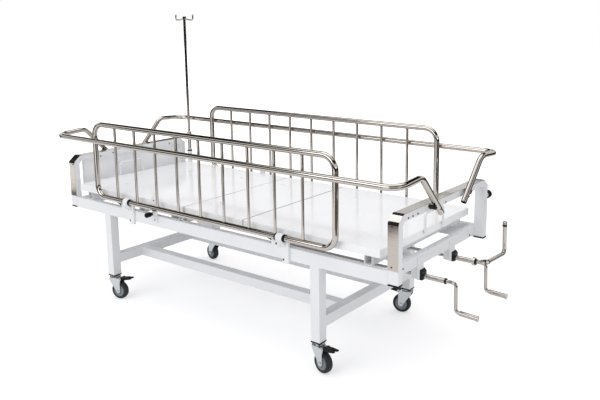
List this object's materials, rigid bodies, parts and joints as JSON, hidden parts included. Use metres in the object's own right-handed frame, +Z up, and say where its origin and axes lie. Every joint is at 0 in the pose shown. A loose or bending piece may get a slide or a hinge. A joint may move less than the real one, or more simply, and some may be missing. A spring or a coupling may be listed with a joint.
{
  "type": "hospital bed",
  "caption": "Pediatric hospital cot bed: tube frame on four braked swivel casters, folding three-part deck, fold-down barred guards, foot-end cranks and an infusion pole.",
  "frame": {"origin": "on the floor under the middle of the upper frame, half way between the end bows and between the side beams", "axes": "+X from the head towards the foot end, +Y to the side of the infusion pole, +Z up"},
  "size_m": [2.5011, 0.9773, 1.6],
  "materials": {
    "frame_white": "satin white powder coat",
    "deck_white": "glossy white powder coat",
    "guard_steel": "polished stainless tube",
    "crank_steel": "bright zinc plated rod",
    "pole_steel": "polished stainless rod",
    "black_plastic": "satin black moulding",
    "panel_grey": "light grey powder coat",
    "fork_zinc": "zinc plated pressing",
    "tyre_grey": "dark grey rubber tread",
    "grip_grey": "moulded grip"
  },
  "bodies": {
    "frame": {"beam_near": "frame_white", "beam_far": "frame_white", "leg_stretchers": "frame_white", "leg_cross_bars": "frame_white", "guard_bracket_head_near": "frame_white", "guard_bracket_head_far": "frame_white", "guard_bracket_foot_near": "frame_white", "guard_bracket_foot_far": "frame_white", "latch_catch_near": "frame_white", "latch_catch_far": "frame_white", "crank_bearing_near": "frame_white", "crank_bearing_far": "frame_white", "bow_head": "frame_white", "bow_foot": "frame_white", "cross_member_head": "frame_white", "cross_member_foot": "frame_white", "leg_head_near": "frame_white", "leg_head_far": "frame_white", "leg_foot_near": "frame_white", "leg_foot_far": "frame_white", "hip_support": "frame_white", "deck_rests": "frame_white", "pole_socket": "frame_white", "post_clamp": "frame_white", "tube_cradles": "black_plastic", "post_caps": "black_plastic", "head_panel": "panel_grey", "pole_tube": "pole_steel", "utility_holder": "pole_steel"},
    "guard_near": {"guard_near": "guard_steel", "guard_bars_near": "guard_steel", "guard_rail_near": "guard_steel"},
    "latch_near": {"latch_plunger_near": "black_plastic"},
    "crank_near": {"crank_near": "crank_steel"},
    "grip_near": {"crank_grip_near": "grip_grey"},
    "guard_far": {"guard_far": "guard_steel", "guard_bars_far": "guard_steel", "guard_rail_far": "guard_steel"},
    "latch_far": {"latch_plunger_far": "black_plastic"},
    "crank_far": {"crank_far": "crank_steel"},
    "grip_far": {"crank_grip_far": "grip_grey"},
    "deck_back": {"deck_back": "deck_white", "mattress_stop_head": "frame_white"},
    "deck_thigh": {"deck_thigh": "deck_white"},
    "deck_leg": {"deck_leg": "deck_white", "mattress_stop_foot": "frame_white"},
    "pole_rod": {"pole_rod": "pole_steel"},
    "clamp_knob": {"clamp_knob": "black_plastic"},
    "caster_head_near": {"caster_fork_head_near": "fork_zinc"},
    "wheel_head_near": {"caster_wheel_head_near": "tyre_grey"},
    "pedal_head_near": {"brake_pedal_head_near": "black_plastic"},
    "caster_head_far": {"caster_fork_head_far": "fork_zinc"},
    "wheel_head_far": {"caster_wheel_head_far": "tyre_grey"},
    "pedal_head_far": {"brake_pedal_head_far": "black_plastic"},
    "caster_foot_near": {"caster_fork_foot_near": "fork_zinc"},
    "wheel_foot_near": {"caster_wheel_foot_near": "tyre_grey"},
    "pedal_foot_near": {"brake_pedal_foot_near": "black_plastic"},
    "caster_foot_far": {"caster_fork_foot_far": "fork_zinc"},
    "wheel_foot_far": {"caster_wheel_foot_far": "tyre_grey"},
    "pedal_foot_far": {"brake_pedal_foot_far": "black_plastic"}
  },
  "joints": [
    {"name": "back_lift", "type": "hinge", "parent": "frame", "child": "deck_back", "pos_m": [-0.157, 0, 0.6325], "axis": [0, 1, 0], "range_deg": [0, 70]},
    {"name": "thigh_lift", "type": "hinge", "parent": "frame", "child": "deck_thigh", "pos_m": [-0.157, 0, 0.6325], "axis": [0, -1, 0], "range_deg": [0, 35]},
    {"name": "knee_fold", "type": "hinge", "parent": "deck_thigh", "child": "deck_leg", "pos_m": [0.252, 0, 0.604], "axis": [0, -1, 0], "range_deg": [-52.5, 0]},
    {"name": "guard_near_fold", "type": "hinge", "parent": "frame", "child": "guard_near", "pos_m": [0, -0.44, 0.605], "axis": [1, 0, 0], "range_deg": [0, 160]},
    {"name": "latch_near_pull", "type": "slide", "parent": "frame", "child": "latch_near", "axis": [0, -1, 0], "range_m": [0, 0.012], "stiffness_N_per_m": 600},
    {"name": "crank_near_turn", "type": "hinge", "parent": "frame", "child": "crank_near", "pos_m": [1.1, -0.15, 0.459], "axis": [1, 0, 0], "continuous": true},
    {"name": "grip_near_spin", "type": "hinge", "parent": "crank_near", "child": "grip_near", "pos_m": [1.242, -0.15, 0.331], "axis": [0.9988, 0, -0.0499], "continuous": true},
    {"name": "guard_far_fold", "type": "hinge", "parent": "frame", "child": "guard_far", "pos_m": [0, 0.44, 0.605], "axis": [-1, 0, 0], "range_deg": [0, 160]},
    {"name": "latch_far_pull", "type": "slide", "parent": "frame", "child": "latch_far", "axis": [0, 1, 0], "range_m": [0, 0.012], "stiffness_N_per_m": 600},
    {"name": "crank_far_turn", "type": "hinge", "parent": "frame", "child": "crank_far", "pos_m": [1.1, 0.15, 0.459], "axis": [1, 0, 0], "continuous": true},
    {"name": "grip_far_spin", "type": "hinge", "parent": "crank_far", "child": "grip_far", "pos_m": [1.242, 0.15, 0.331], "axis": [0.9988, 0, -0.0499], "continuous": true},
    {"name": "pole_rod_slide", "type": "slide", "parent": "frame", "child": "pole_rod", "axis": [0, 0, 1], "range_m": [-0.05, 0.15]},
    {"name": "clamp_knob_turn", "type": "hinge", "parent": "frame", "child": "clamp_knob", "pos_m": [1.09, 0.462, 0.7], "axis": [0, 1, 0], "continuous": true},
    {"name": "swivel_head_near", "type": "hinge", "parent": "frame", "child": "caster_head_near", "pos_m": [-0.783, -0.393, 0.13], "axis": [0, 0, 1], "continuous": true},
    {"name": "wheel_head_near_roll", "type": "hinge", "parent": "caster_head_near", "child": "wheel_head_near", "pos_m": [-0.75195, -0.38526, 0.05], "axis": [-0.2419, 0.9703, 0], "continuous": true},
    {"name": "pedal_head_near_lift", "type": "hinge", "parent": "caster_head_near", "child": "pedal_head_near", "pos_m": [-0.73837, -0.38187, 0.1199], "axis": [0.2419, -0.9703, 0], "range_deg": [0, 15]},
    {"name": "swivel_head_far", "type": "hinge", "parent": "frame", "child": "caster_head_far", "pos_m": [-0.783, 0.393, 0.13], "axis": [0, 0, 1], "continuous": true},
    {"name": "wheel_head_far_roll", "type": "hinge", "parent": "caster_head_far", "child": "wheel_head_far", "pos_m": [-0.8143, 0.39965, 0.05], "axis": [-0.2079, -0.9781, 0], "continuous": true},
    {"name": "pedal_head_far_lift", "type": "hinge", "parent": "caster_head_far", "child": "pedal_head_far", "pos_m": [-0.828, 0.40256, 0.1199], "axis": [0.2079, 0.9781, 0], "range_deg": [0, 15]},
    {"name": "swivel_foot_near", "type": "hinge", "parent": "frame", "child": "caster_foot_near", "pos_m": [0.687, -0.393, 0.13], "axis": [0, 0, 1], "continuous": true},
    {"name": "wheel_foot_near_roll", "type": "hinge", "parent": "caster_foot_near", "child": "wheel_foot_near", "pos_m": [0.7183, -0.39965, 0.05], "axis": [0.2079, 0.9781, 0], "continuous": true},
    {"name": "pedal_foot_near_lift", "type": "hinge", "parent": "caster_foot_near", "child": "pedal_foot_near", "pos_m": [0.73199, -0.40256, 0.1199], "axis": [-0.2079, -0.9781, 0], "range_deg": [0, 15]},
    {"name": "swivel_foot_far", "type": "hinge", "parent": "frame", "child": "caster_foot_far", "pos_m": [0.687, 0.393, 0.13], "axis": [0, 0, 1], "continuous": true},
    {"name": "wheel_foot_far_roll", "type": "hinge", "parent": "caster_foot_far", "child": "wheel_foot_far", "pos_m": [0.65549, 0.38744, 0.05], "axis": [0.1736, -0.9848, 0], "continuous": true},
    {"name": "pedal_foot_far_lift", "type": "hinge", "parent": "caster_foot_far", "child": "pedal_foot_far", "pos_m": [0.6417, 0.38501, 0.1199], "axis": [-0.1736, 0.9848, 0], "range_deg": [0, 15]}
  ],
  "couplings": [
    {"joint": "knee_fold", "follows": "thigh_lift", "ratio": -1.5}
  ]
}
